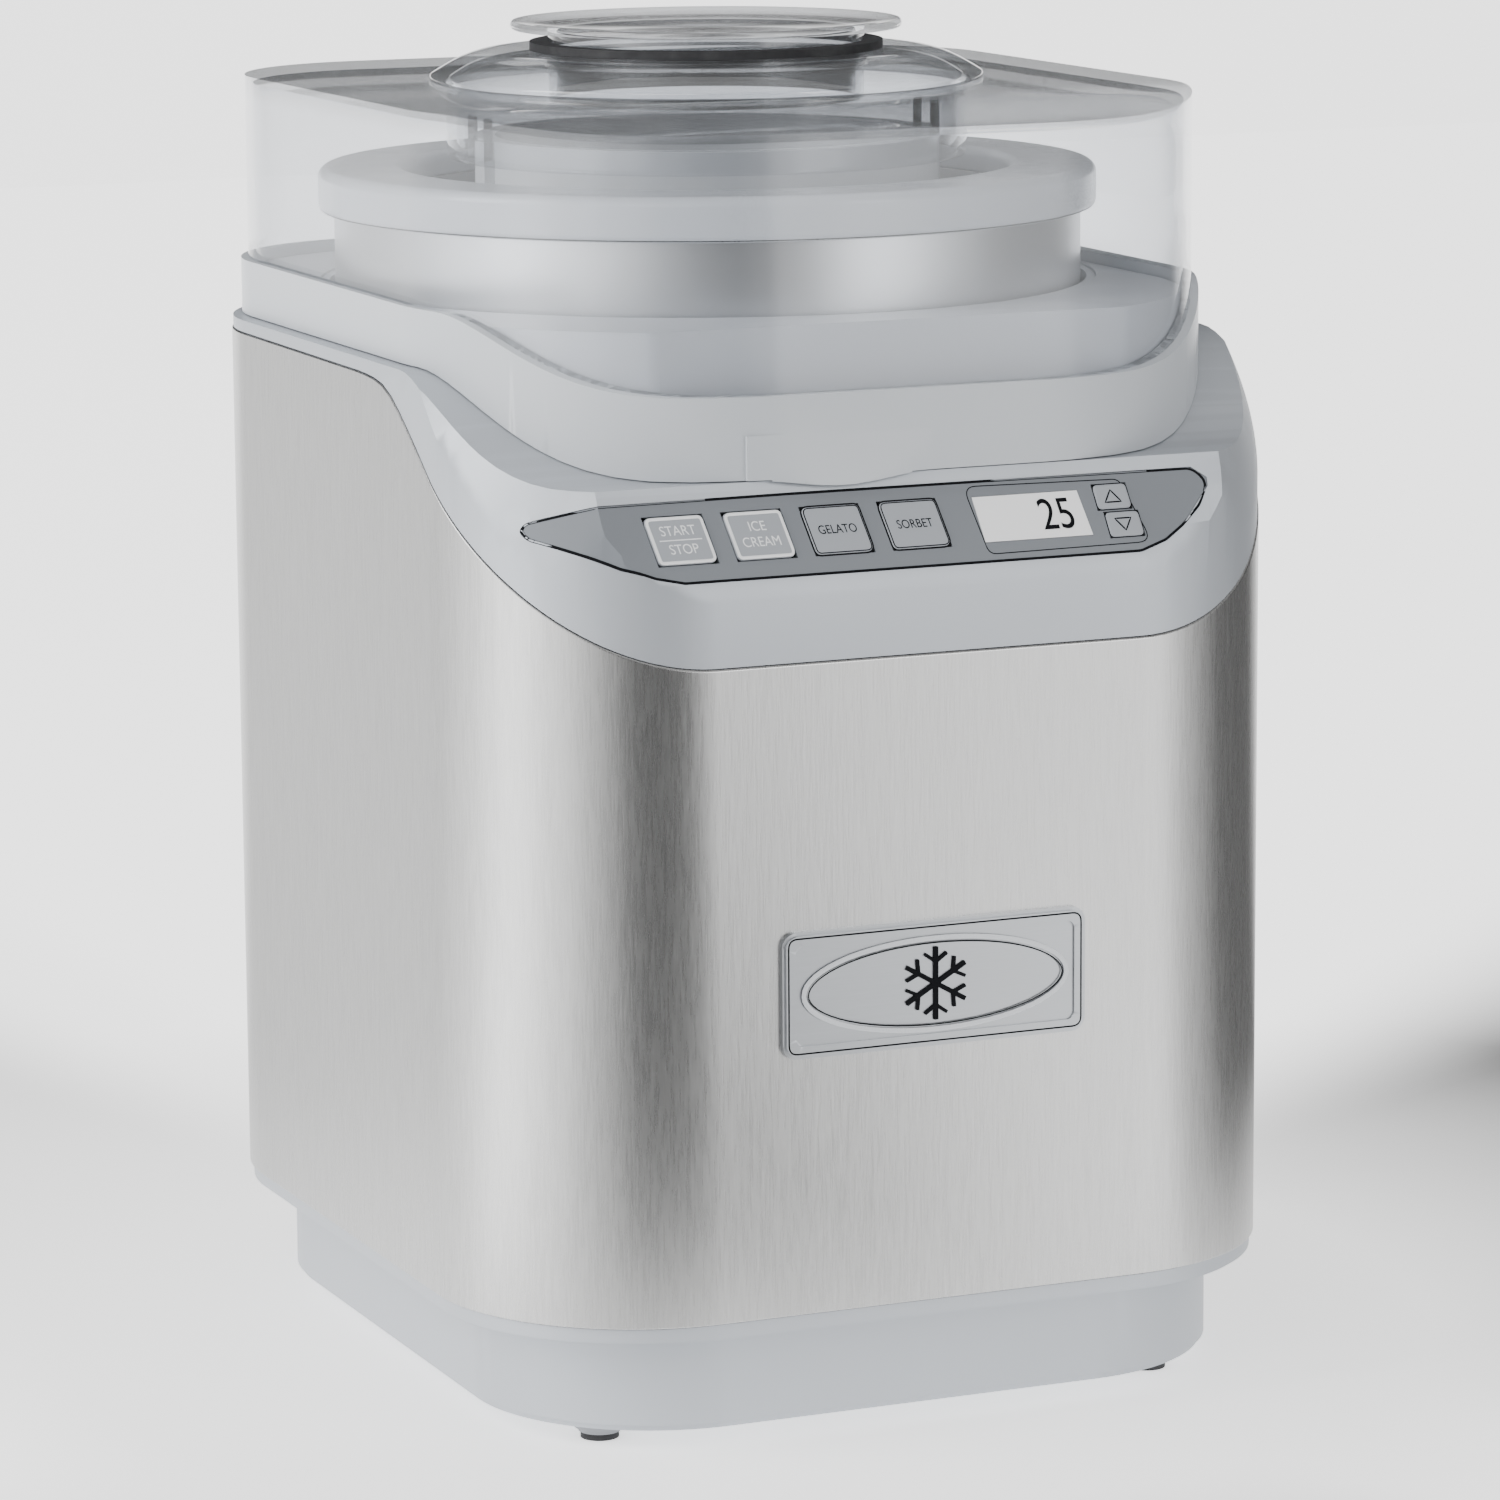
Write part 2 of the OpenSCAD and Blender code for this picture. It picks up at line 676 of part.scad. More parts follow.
module motor_rotor() {
  color([0.45, 0.3, 0.2]) on_motor() {
    translate([0, 0, 19]) cylinder(r = pin_r, h = 66, $fn = 48);
    difference() {
      translate([0, 0, 31]) cylinder(r = motor_r - 6, h = 32);
      for (a = [0:30:330]) rotate(a) translate([motor_r - 6, 0, 47])
        cube([3, 2, 40], center = true);
    }
    translate([0, 0, 64]) cylinder(r = 6, h = 4, $fn = 48);
  }
}

module motor_pinion() {
  color([0.75, 0.65, 0.35]) on_motor() translate([0, 0, 76]) difference() {
    rotate(motor_a + 180 + 180/small_n) linear_extrude(height = 9) gear_shape(small_n);
    translate([0, 0, -1]) cylinder(r = pin_r, h = 12, $fn = 48);
  }
}

module idler_gear() {
  color([0.9, 0.9, 0.86]) on_idler() difference() {
    union() {
      translate([0, 0, 77]) rotate(motor_a) linear_extrude(height = 7) gear_shape(big_n);
      translate([0, 0, 84]) rotate(90) linear_extrude(height = 14) gear_shape(small_n);
      translate([0, 0, 75.4]) cylinder(r = 5, h = 2, $fn = 48);
    }
    translate([0, 0, 70]) cylinder(r = pin_r + run, h = 40, $fn = 48);
    for (a = [0:60:300]) rotate(a) translate([17, 0, 70]) cylinder(r = 5, h = 20, $fn = 32);
  }
}

module output_gear() {
  color([0.9, 0.9, 0.86]) on_bowl() difference() {
    union() {
      translate([0, 0, 88]) rotate(-90 + 180/big_n) linear_extrude(height = 9) gear_shape(big_n);
      translate([0, 0, 86]) cylinder(r = 10, h = 12.5, $fn = 48);
    }
    translate([0, 0, 80]) cylinder(r = spindle_r, h = 40, $fn = 48);
    for (a = [0:60:300]) rotate(a) translate([18, 0, 80]) cylinder(r = 4.5, h = 30, $fn = 32);
  }
}

module drive_spindle() {
  color([0.6, 0.6, 0.62]) on_bowl() {
    translate([0, 0, box_z + 0.2]) cylinder(r = 3, h = 14, $fn = 48);
    translate([0, 0, 86]) cylinder(r = spindle_r, h = well_floor - 85, $fn = 48);
    translate([0, 0, well_floor + 1]) cylinder(r = 30, h = 2.2);
    translate([0, 0, well_floor + 3]) cylinder(r = 11, h = 6, $fn = 6);
  }
}

// Bowl: outer shell, inner liner, plastic rim and the sealed coolant between the walls.
module bowl_shell() {
  color([0.78, 0.79, 0.8]) on_bowl() difference() {
    rotate_extrude($fn = 144) difference() {
      polygon(shell_line(0));
      polygon(shell_line(1));
    }
    translate([0, 0, bowl_z0 - 1]) cylinder(r = 18, h = 4);
  }
}
function shell_line(d) = concat([[0, bowl_z0 + d]],
  [for (i = [0:6]) [bowl_r - 9.5 + (8 - d)*sin(15*i), bowl_z0 + 8 - (8 - d)*cos(15*i)]],
  [[bowl_r - d, bowl_z0 + 40]],
  [[bowl_r - d, rim_z - 6 + 10*d]], [[0, rim_z - 6 + 10*d]]);

function liner_line(d) = concat([[0, floor_z + d]],
  [for (i = [0:6]) [inner_r - 12 + (12 - d)*sin(15*i), floor_z + 12 - (12 - d)*cos(15*i)]],
  [[inner_r - d, rim_z - 6 + 10*d]], [[0, rim_z - 6 + 10*d]]);

module bowl_liner() {
  color([0.83, 0.84, 0.85]) on_bowl() rotate_extrude($fn = 144) difference() {
    polygon(liner_line(0));
    polygon(liner_line(1.2));
    square([inner_r - 12, rim_z]);
  }
}

// Flat middle of the bowl's floor, with the socket wall that hangs below it.
module bowl_floor() {
  color([0.83, 0.84, 0.85]) on_bowl() {
    translate([0, 0, floor_z]) cylinder(r = inner_r - 12, h = 1.2, $fn = 144);
    ring(18, 16.8, bowl_z0 + 3, floor_z + 0.1);
  }
}

module bowl_rim() {
  color([0.86, 0.87, 0.88]) on_bowl() rotate_extrude($fn = 144) difference() {
    polygon([[inner_r - 1.2, rim_z - 5], [inner_r - 1.2, rim_z - 1.4], [inner_r + 0.4, rim_z],
      [rim_r - 1.6, rim_z], [rim_r, rim_z - 1.6], [rim_r, rim_z - rim_h + 1],
      [rim_r - 1, rim_z - rim_h], [bowl_r, rim_z - rim_h], [bowl_r, rim_z - 6],
      [inner_r - 1.2, rim_z - 6]]);
    translate([inner_r + 4, rim_z - 6.1]) square([bowl_wall - 9, 3.4]);
  }
}

module bowl_coolant() {
  g = 0.4;
  color([0.35, 0.6, 0.85]) on_bowl() rotate_extrude($fn = 96) polygon(concat([
    [18 + g, bowl_z0 + 1 + g], [bowl_r - 9.5, bowl_z0 + 1 + g], [bowl_r - 3.4, bowl_z0 + 12],
    [bowl_r - 1 - g, bowl_z0 + 42], [bowl_r - 1 - g, rim_z - 18], [inner_r + g, rim_z - 18]],
    [for (i = [6:-1:0]) [inner_r - 12 + (12 + g)*sin(15*i), floor_z + 12 - (12 + g)*cos(15*i)]],
    [[18 + g, floor_z - g]]));
}

module bowl_coupler() {
  color([0.2, 0.2, 0.22]) on_bowl() difference() {
    union() {
      translate([0, 0, bowl_z0]) cylinder(r = 16.8, h = 16);
      translate([0, 0, bowl_z0]) cylinder(r = 17.9, h = 2.9);
    }
    translate([0, 0, bowl_z0 - 1]) cylinder(r = 11.6, h = 7.4, $fn = 6);
  }
}

module paddle() {
  top = rim_z + 7;
  low = floor_z + 1.2 + gap;
  color([0.93, 0.94, 0.95]) on_bowl() {
    ring(56, 51, rim_z - 16, top);
    for (a = [0, 180]) rotate(a) {
      translate([55.2, -3, rim_z - 4]) cube([3.4, 6, top - rim_z + 4]);
      translate([50, -3.4, rim_z - 16]) cube([inner_r - 53.6, 6.8, 7]);
      translate([inner_r - 22, -2.2, low + 14]) cube([18.4, 4.4, rim_z - 16 - low - 12]);
      translate([14, -2.2, low]) cube([inner_r - 30, 4.4, 9]);
      translate([inner_r - 20, -2.2, low + 5]) cube([11, 4.4, 12]);
      translate([14, -2.2, low + 30]) rotate([0, -38, 0]) cube([56, 4.4, 7]);
    }
    ring(15, 4, low, low + 12);
    ring(16, 11, low + 10, low + 40);
  }
}

module lid_cover() {
  drop_span = 54;
  top = eased(lid_front, drop_span, lid_z - lid_drop, lid_z);
  low = eased(lid_front + 1, 48, wave_front_z, wave_side_z);
  color([0.85, 0.88, 0.92, 0.35]) difference() {
    intersection() {
      translate([0, 0, 200]) linear_extrude(height = 150) lid_plan(0);
      side_slab(concat([[front_y - 5, top[0][1]]], top, [[back_y + 5, lid_z]],
        [[back_y + 5, wave_side_z]], [for (i = [14:-1:0]) low[i]],
        [[front_y - 5, low[0][1]]]));
    }
    intersection() {
      translate([0, 0, 190]) linear_extrude(height = 150) lid_plan(lid_t);
      side_slab(concat([[front_y - 5, top[0][1] - lid_t]], [for (p = top) [p[0], p[1] - lid_t]],
        [[back_y + 5, lid_z - lid_t]], [[back_y + 5, 100]], [[front_y - 5, 100]]));
    }
    on_bowl() translate([0, 0, 280]) cylinder(r = collar_r - 3.8, h = 60);
  }
}

// Grip tab under the middle of the band.

// Lip that swells out of the band and fades to nothing at both ends.
module finger_lip() {
  r = (pow(tab_w/2, 2) + pow(tab_out, 2))/(2*tab_out);
  z0 = front_top_z + gap;
  intersection() {
    translate([tab_x - tab_w/2, 0, 0]) rotate([90, 0, 90]) linear_extrude(height = tab_w)
      polygon([[band_front + 0.8, z0 + 10], [band_front + 0.8, z0], [band_front - 0.75, z0],
        [band_front - 0.75, z0 - tab_drop], [band_front - tab_out, z0 - tab_drop],
        [band_front, z0 + 10]]);
    translate([tab_x, band_front - tab_out + r, z0 - 10]) cylinder(r = r, h = 30, $fn = 256);
    translate([tab_x, band_front + 5, 0]) rotate([90, 0, 0]) linear_extrude(height = 20)
      polygon(concat([for (i = [-8:8]) [tab_w*i/16, z0 - tab_drop*(1 + cos(22.5*i))/2]],
        [[tab_w/2, z0 + 12], [-tab_w/2, z0 + 12]]));
  }
}

module lid_band() {
  low = eased(lid_front + 2, 54, front_top_z + gap, deck_z + gap);
  high = eased(lid_front + 1, 48, wave_front_z, wave_side_z);
  color([0.66, 0.68, 0.72]) {
    difference() {
      intersection() {
        translate([0, 0, 200]) linear_extrude(height = 150)
          plan(band_w, lid_d + 3.5, lid_fr + 1.7, lid_br + 1.7, lid_y);
        side_slab(concat([[front_y - 5, low[0][1]]], low, [[back_y + 5, deck_z + gap]],
          [[back_y + 5, wave_side_z]], [for (i = [14:-1:0]) high[i]],
          [[front_y - 5, high[0][1]]]));
      }
      translate([0, 0, 190]) linear_extrude(height = 150) lid_plan(lid_t);
    }
    finger_lip();
  }
}

module lid_collar() {
  r = collar_r;
  z = lid_z + 0.02;
  color([0.85, 0.88, 0.92, 0.4]) on_bowl() {
    rotate_extrude($fn = 144) polygon(concat(
      [[r - 4, z - 18], [r - 4, z], [r, z], [r, z + 1.6]],
      [for (i = [1:6]) [r - 15*(i/6), z + 1.6 + (collar_z - z - 1.6)*sin(15*i)]],
      [[neck_r + 0.5, collar_z], [neck_r + 0.5, collar_z - 2.2], [r - 15, collar_z - 2.2]],
      [for (i = [5:-1:1]) [r - 2.4 - 12.6*(i/6), z - 0.6 + (collar_z - z - 1.6)*sin(15*i)]],
      [[r - 6.4, z - 1], [r - 6.4, z - 18]]));
    for (a = [0, 180], s = [-1, 1]) rotate(a) translate([57.4, s*5 - 1, z - 17])
      cube([3, 2, 10]);
  }
}

module spout_cap() {
  color([0.86, 0.89, 0.93, 0.4]) on_bowl() {
    rotate_extrude($fn = 144) polygon([[0, cap_z - 3.6], [neck_r, cap_z - 2.4],
      [cap_r - 0.6, cap_z - 2], [cap_r, cap_z - 1.2], [cap_r - 0.6, cap_z], [neck_r, cap_z - 0.8],
      [0, cap_z - 2.2]]);
    ring(neck_r, neck_r - 2, collar_z - 12, cap_z - 1.6);
  }
}

module cap_seal() {
  color([0.16, 0.17, 0.18]) on_bowl() ring(neck_r + 4.5, neck_r + 0.02, collar_z + 0.05, collar_z + 2);
}

base_tray();
feet();
foot_pads();
base_screws();
steel_wrap();
rear_panel();
cord_gland();
upper_housing();
bowl_platform();
bowl_well();
well_base();
well_seal();
control_panel();
lcd_lens();
lcd_module();
key_board();
power_board();
badge_plate();
badge_emblem();
gearbox_base();
gearbox_cover();
gearbox_screws();
idler_pin();
spindle_bush();
motor_can();
motor_end_cap();
motor_rotor();
motor_pinion();
idler_gear();
output_gear();
drive_spindle();
bowl_shell();
bowl_liner();
bowl_floor();
bowl_rim();
bowl_coolant();
bowl_coupler();
paddle();
lid_cover();
lid_band();
lid_collar();
spout_cap();
cap_seal();
key_start();
key_ice_cream();
key_gelato();
key_sorbet();
key_up();
key_down();
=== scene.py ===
import bpy, bmesh, json, math
from mathutils import Vector, Matrix
from mathutils.bvhtree import BVHTree


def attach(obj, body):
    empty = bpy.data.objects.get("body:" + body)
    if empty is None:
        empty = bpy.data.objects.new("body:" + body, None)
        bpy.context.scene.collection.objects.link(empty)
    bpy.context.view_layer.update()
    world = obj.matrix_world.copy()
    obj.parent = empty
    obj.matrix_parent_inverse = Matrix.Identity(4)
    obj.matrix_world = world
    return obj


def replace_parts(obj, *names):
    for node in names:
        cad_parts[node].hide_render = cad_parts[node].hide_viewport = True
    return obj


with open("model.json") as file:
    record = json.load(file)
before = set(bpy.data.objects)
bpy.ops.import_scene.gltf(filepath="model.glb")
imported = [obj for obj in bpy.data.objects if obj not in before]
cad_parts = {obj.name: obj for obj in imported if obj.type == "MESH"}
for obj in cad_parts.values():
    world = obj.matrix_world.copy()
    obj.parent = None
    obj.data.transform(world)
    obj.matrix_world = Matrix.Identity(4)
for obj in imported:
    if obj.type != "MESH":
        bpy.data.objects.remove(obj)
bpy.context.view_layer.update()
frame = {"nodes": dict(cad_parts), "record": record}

NODE = frame["nodes"]
sin, cos, rad = math.sin, math.cos, math.radians
MM = 0.001


# ---------------------------------------------------------------- camera, light, floor
# turn, tilt and roll in radians, the point looked at and the distance in metres
CAMERA_TURN, CAMERA_TILT, CAMERA_ROLL = -0.4040, 0.1810, -0.0070
CAMERA_AIM = Vector((0.00216, -0.0033, 0.14225))
CAMERA_AWAY = 1.5384
SENSOR = 36
FOCAL_PER_WIDTH = 6339.4 / 1500


def set_camera():
    """The camera stands where the object is seen from its front left."""
    az, el, roll = CAMERA_TURN, CAMERA_TILT, CAMERA_ROLL
    back = Vector((sin(az) * cos(el), -cos(az) * cos(el), sin(el)))
    right = Vector((cos(az), sin(az), 0))
    up = back.cross(right)
    place = CAMERA_AIM + back * CAMERA_AWAY
    r2 = right * cos(roll) + up * sin(roll)
    u2 = up * cos(roll) - right * sin(roll)
    data = bpy.data.cameras.new("camera")
    data.sensor_width = SENSOR
    data.lens = FOCAL_PER_WIDTH * SENSOR
    data.clip_start = 0.05
    cam = bpy.data.objects.new("camera", data)
    cam.matrix_world = Matrix(((r2.x, u2.x, back.x, place.x), (r2.y, u2.y, back.y, place.y),
                               (r2.z, u2.z, back.z, place.z), (0, 0, 0, 1)))
    bpy.context.collection.objects.link(cam)
    bpy.context.scene.camera = cam


def area(name, loc, target, size, power):
    """A white rectangular light, turned towards the target."""
    data = bpy.data.lights.new(name, "AREA")
    data.shape = "RECTANGLE"
    data.size, data.size_y = size
    data.energy = power
    o = bpy.data.objects.new(name, data)
    o.location = loc
    o.rotation_euler = (Vector(target) - Vector(loc)).to_track_quat("-Z", "Y").to_euler()
    bpy.context.collection.objects.link(o)


class Tree:
    """Short calls for building a node tree."""
    def __init__(self, tree):
        self.t = tree
        tree.nodes.clear()

    def n(self, kind, **kw):
        node = self.t.nodes.new(kind)
        for k, v in kw.items():
            if k.startswith("_"):
                setattr(node, k[1:], v)
            else:
                self.put(node, k.replace("__", " "), v)
        return node

    def put(self, node, key, v):
        sock = node.inputs[int(key[1:])] if key[0] == "i" and key[1:].isdigit() else node.inputs[key]
        if isinstance(v, bpy.types.NodeSocket):
            self.t.links.new(v, sock)
        elif isinstance(v, bpy.types.Node):
            self.t.links.new(v.outputs[0], sock)
        else:
            sock.default_value = v

    def noise(self, vec, scale, detail=3, rough=0.5):
        node = self.n("ShaderNodeTexNoise", Vector=vec, Scale=scale, Detail=detail, Roughness=rough)
        return node.outputs["Fac"]

    def stretch(self, vec, s):
        return self.n("ShaderNodeMapping", Vector=vec, Scale=s).outputs[0]

    def span(self, fac, a, b, c=0.0, d=1.0):
        return self.n("ShaderNodeMapRange", Value=fac, i1=c, i2=d, i3=a, i4=b).outputs[0]

    def mix(self, fac, a, b):
        m = self.n("ShaderNodeMix", _data_type="RGBA")
        self.put(m, "i0", fac)
        self.put(m, "i6", a)
        self.put(m, "i7", b)
        return m.outputs[2]

    def math(self, op, a, b=0.5):
        return self.n("ShaderNodeMath", _operation=op, i0=a, i1=b).outputs[0]


def new_mat(name):
    m = bpy.data.materials.new(name)
    m.use_nodes = True
    return m, Tree(m.node_tree)


def rgb(v):
    return (v[0], v[1], v[2], 1)


def shade(c, k):
    return tuple(min(1, v * k) for v in c[:3]) + (1,)


def plastic(name, color, rough=0.38, grain=0.12, gloss=0.0, spread=0.03, grain_scale=2600, sub=0.0,
            flake=0.0, shine=0.5):
    """Moulded plastic: fine spark texture, faint flow marks, paler on sharp convex edges."""
    m, t = new_mat(name)
    pos = t.n("ShaderNodeTexCoord").outputs["Object"]
    fine = t.noise(pos, grain_scale, 2)
    flow = t.noise(t.stretch(pos, (14, 14, 5)), 1.0, 4, 0.6)
    edge = t.span(t.n("ShaderNodeNewGeometry").outputs["Pointiness"], 0.0, 1.0, 0.5, 0.62)
    col = t.mix(flow, shade(color, 1 - spread), shade(color, 1 + spread))
    # convex edges, found by pointiness, are mixed a little towards a paler colour
    col = t.mix(t.math("MULTIPLY", edge, 0.35), col, shade(color, 1.25))
    r = t.math("ADD", t.span(flow, rough - 0.05, rough + 0.05), t.span(fine, -0.03, 0.03))
    bump = t.n("ShaderNodeBump", Height=fine, Strength=grain, Distance=0.00012)
    b = t.n("ShaderNodeBsdfPrincipled", Base__Color=col, Roughness=r, Normal=bump.outputs[0])
    t.put(b, "Metallic", flake)
    t.put(b, "Specular IOR Level", shine)
    t.put(b, "Coat Weight", gloss)
    t.put(b, "Coat Roughness", 0.08)
    if sub:
        t.put(b, "Subsurface Weight", sub)
        t.put(b, "Subsurface Radius", (0.004, 0.004, 0.004))
    t.n("ShaderNodeOutputMaterial", Surface=b)
    return m


def brushed(name, color, along, rough=0.3, depth=0.25, aniso=0.5, turn=0.25, contrast=0.05):
    """Brushed sheet: long scratches along one axis, broad faint streaks, a soft uneven polish."""
    m, t = new_mat(name)
    pos = t.n("ShaderNodeTexCoord").outputs["Object"]
    fine = t.noise(t.stretch(pos, tuple(130 if a == along else 1900 for a in "xyz")), 1.0, 2, 0.6)
    mid = t.noise(t.stretch(pos, tuple(60 if a == along else 700 for a in "xyz")), 1.0, 3, 0.6)
    broad = t.noise(t.stretch(pos, tuple(2 if a == along else 40 for a in "xyz")), 1.0, 2)
    grain = t.math("ADD", t.math("MULTIPLY", fine, 0.6), t.math("MULTIPLY", mid, 0.4))
    col = t.mix(grain, shade(color, 1 - contrast), shade(color, 1 + contrast))
    col = t.mix(t.math("MULTIPLY", broad, 0.25), col, shade(color, 0.92))
    r = t.math("ADD", t.span(grain, rough - 0.07, rough + 0.09), t.span(broad, -0.02, 0.02))
    bump = t.n("ShaderNodeBump", Height=grain, Strength=depth, Distance=0.00006)
    b = t.n("ShaderNodeBsdfPrincipled", Base__Color=col, Roughness=r, Metallic=1.0,
            Normal=bump.outputs[0], Anisotropic=aniso)
    t.put(b, "Anisotropic Rotation", turn)
    tan = t.n("ShaderNodeTangent", _direction_type="RADIAL", _axis="Z")
    t.put(b, "Tangent", tan.outputs[0])
    t.n("ShaderNodeOutputMaterial", Surface=b)
    return m


def turned(name, color, rough=0.3, metallic=1.0, centre=(0, 0)):
    """Turned or spun metal: rings round the axis, with a soft uneven polish."""
    m, t = new_mat(name)
    pos = t.n("ShaderNodeTexCoord").outputs["Object"]
    sep = t.n("ShaderNodeSeparateXYZ", Vector=pos)
    dx = t.math("SUBTRACT", sep.outputs[0], centre[0])
    dy = t.math("SUBTRACT", sep.outputs[1], centre[1])
    rr = t.math("SQRT", t.math("ADD", t.math("MULTIPLY", dx, dx), t.math("MULTIPLY", dy, dy)))
    comb = t.n("ShaderNodeCombineXYZ", X=rr, Y=sep.outputs[2], Z=0.0)
    rings = t.noise(comb.outputs[0], 2400, 2)
    cloud = t.noise(pos, 30, 3)
    col = t.mix(rings, shade(color, 0.94), shade(color, 1.05))
    r = t.math("ADD", t.span(rings, rough - 0.06, rough + 0.08), t.span(cloud, -0.03, 0.03))
    bump = t.n("ShaderNodeBump", Height=rings, Strength=0.2, Distance=0.00006)
    b = t.n("ShaderNodeBsdfPrincipled", Base__Color=col, Roughness=r, Metallic=metallic,
            Normal=bump.outputs[0])
    t.n("ShaderNodeOutputMaterial", Surface=b)
    return m


def clear(name, tint=(0.955, 0.963, 0.975), rough=0.02, haze=0.03):
    """Clear moulded plastic: a tint, made darker over the top by a painted reflection, a little haze, and
    the reflectance of a surface of index 1.49.
    """
    m, t = new_mat(name)
    pos = t.n("ShaderNodeTexCoord").outputs["Object"]
    flow = t.noise(t.stretch(pos, (18, 18, 7)), 1.0, 3)
    fine = t.noise(pos, 900, 2)
    # painted reflection: the top of the lid, its collar and its cap are tinted darker, for the dark
    # surroundings they reflect
    top = t.n("ShaderNodeSeparateXYZ", Vector=pos).outputs[2]
    see = t.n("ShaderNodeBsdfTransparent",
              Color=t.mix(t.span(top, 0.0, 1.0, 0.2975, 0.3015), rgb(tint), shade(tint, 0.88)))
    bump = t.n("ShaderNodeBump", Height=flow, Strength=0.05, Distance=0.0004)
    shine = t.n("ShaderNodeBsdfGlossy", Color=(1, 1, 1, 1), Roughness=t.span(fine, rough, rough + 0.04),
                Normal=bump.outputs[0])
    body = t.n("ShaderNodeBsdfDiffuse", Color=shade(tint, 0.85), Roughness=0.4)
    h = t.n("ShaderNodeMixShader")
    t.put(h, "i0", t.span(flow, haze * 0.6, haze * 1.4))
    t.put(h, "i1", see)
    t.put(h, "i2", body)
    # Schlick's reflectance, the same on both faces of the wall
    slant = t.n("ShaderNodeLayerWeight", Blend=0.5).outputs["Facing"]
    back = t.math("ADD", t.math("MULTIPLY", t.math("POWER", slant, 5.0), 0.96), 0.04)
    s = t.n("ShaderNodeMixShader")
    t.put(s, "i0", back)
    t.put(s, "i1", h)
    t.put(s, "i2", shine)
    t.n("ShaderNodeOutputMaterial", Surface=s)
    return m


def rubber(name, color=(0.02, 0.02, 0.022), rough=0.75):
    """Matt rubber with a fine texture and a little dust."""
    m, t = new_mat(name)
    pos = t.n("ShaderNodeTexCoord").outputs["Object"]
    fine = t.noise(pos, 1800, 3)
    dust = t.noise(pos, 60, 4, 0.7)
    col = t.mix(t.span(dust, 0, 0.5, 0.45, 0.9), rgb(color), shade((0.12, 0.12, 0.12), 1))
    bump = t.n("ShaderNodeBump", Height=fine, Strength=0.35, Distance=0.0002)
    b = t.n("ShaderNodeBsdfPrincipled", Base__Color=col, Roughness=t.span(fine, rough - 0.08, rough + 0.1),
            Normal=bump.outputs[0])
    t.n("ShaderNodeOutputMaterial", Surface=b)
    return m


# the turned parts share the bowl's axis; Y in millimetres
BOWL_Y = 15.5
AXIS = (0, BOWL_Y * MM)
M = {
    "body_plastic": plastic("housing_plastic", (0.45, 0.475, 0.51), 0.4, flake=0.35),
    "deck_plastic": plastic("deck_plastic", (0.60, 0.62, 0.655), 0.42),
    "foot_plastic": plastic("foot_plastic", (0.28, 0.29, 0.31), 0.5),
    "rubber": rubber("rubber"),
    "screw_steel": turned("screw_steel", (0.6, 0.6, 0.62), 0.3),
    "steel": brushed("steel_sheet", (0.52, 0.52, 0.515), "z", 0.27, 0.4, 0.2, 0.0, contrast=0.27),
    "panel_plastic": plastic("panel_film", (0.19, 0.205, 0.225), 0.42, 0.06, 0.0, shine=0.3),
    "key_plastic": plastic("key_film", (0.36, 0.38, 0.41), 0.38, 0.06, 0.0, shine=0.3),
    "window": plastic("window_film", (0.86, 0.87, 0.88), 0.2, 0.02, 0.3),
    "display": plastic("display", (0.7, 0.74, 0.7), 0.3, 0.05),
    "board": plastic("board_lacquer", (0.02, 0.13, 0.05), 0.25, 0.2, 0.5),
    "badge": brushed("badge_plate", (0.46, 0.475, 0.495), "x", 0.34, 0.3, 0.4, 0.0, contrast=0.12),
    "emblem": plastic("dark_print_and_painted_shadow", (0.008, 0.0085, 0.01), 0.6, 0.02, shine=0.03),
    "gearbox_plastic": plastic("gearbox_plastic", (0.05, 0.05, 0.055), 0.5, 0.3),
    "pin_steel": turned("pin_steel", (0.62, 0.62, 0.64), 0.2, 1, AXIS),
    "bush_bronze": turned("bush_bronze", (0.55, 0.36, 0.18), 0.4, 1, AXIS),
    "motor_steel": brushed("motor_zinc", (0.5, 0.51, 0.52), "z", 0.4, 0.1, 0.2),
    "rotor_copper": plastic("rotor_copper", (0.35, 0.16, 0.08), 0.35, 0.4),
    "pinion_brass": turned("pinion_brass", (0.72, 0.55, 0.25), 0.25),
    "gear_nylon": plastic("gear_nylon", (0.78, 0.76, 0.7), 0.4, 0.1, 0, 0.03, 2600, 0.2),
    "bowl_alu": turned("bowl_aluminium", (0.78, 0.785, 0.79), 0.33, 1, AXIS),
    "bowl_rim": plastic("bowl_rim", (0.66, 0.68, 0.71), 0.28, 0.06, 0.2),
    "coolant": plastic("coolant", (0.1, 0.3, 0.6), 0.2),
    "paddle_plastic": plastic("paddle_plastic", (0.80, 0.815, 0.83), 0.25, 0.05, 0.3, 0.02, 2600, 0.3),
    "lid_clear": clear("lid_clear"),
    "band_plastic": plastic("band_plastic", (0.52, 0.545, 0.575), 0.3, 0.1),
}

set_camera()
for sub in frame["record"]["subparts"]:
    o = NODE[sub["node"]]
    o.data.materials.clear()
    o.data.materials.append(M[sub["material_slot"]])

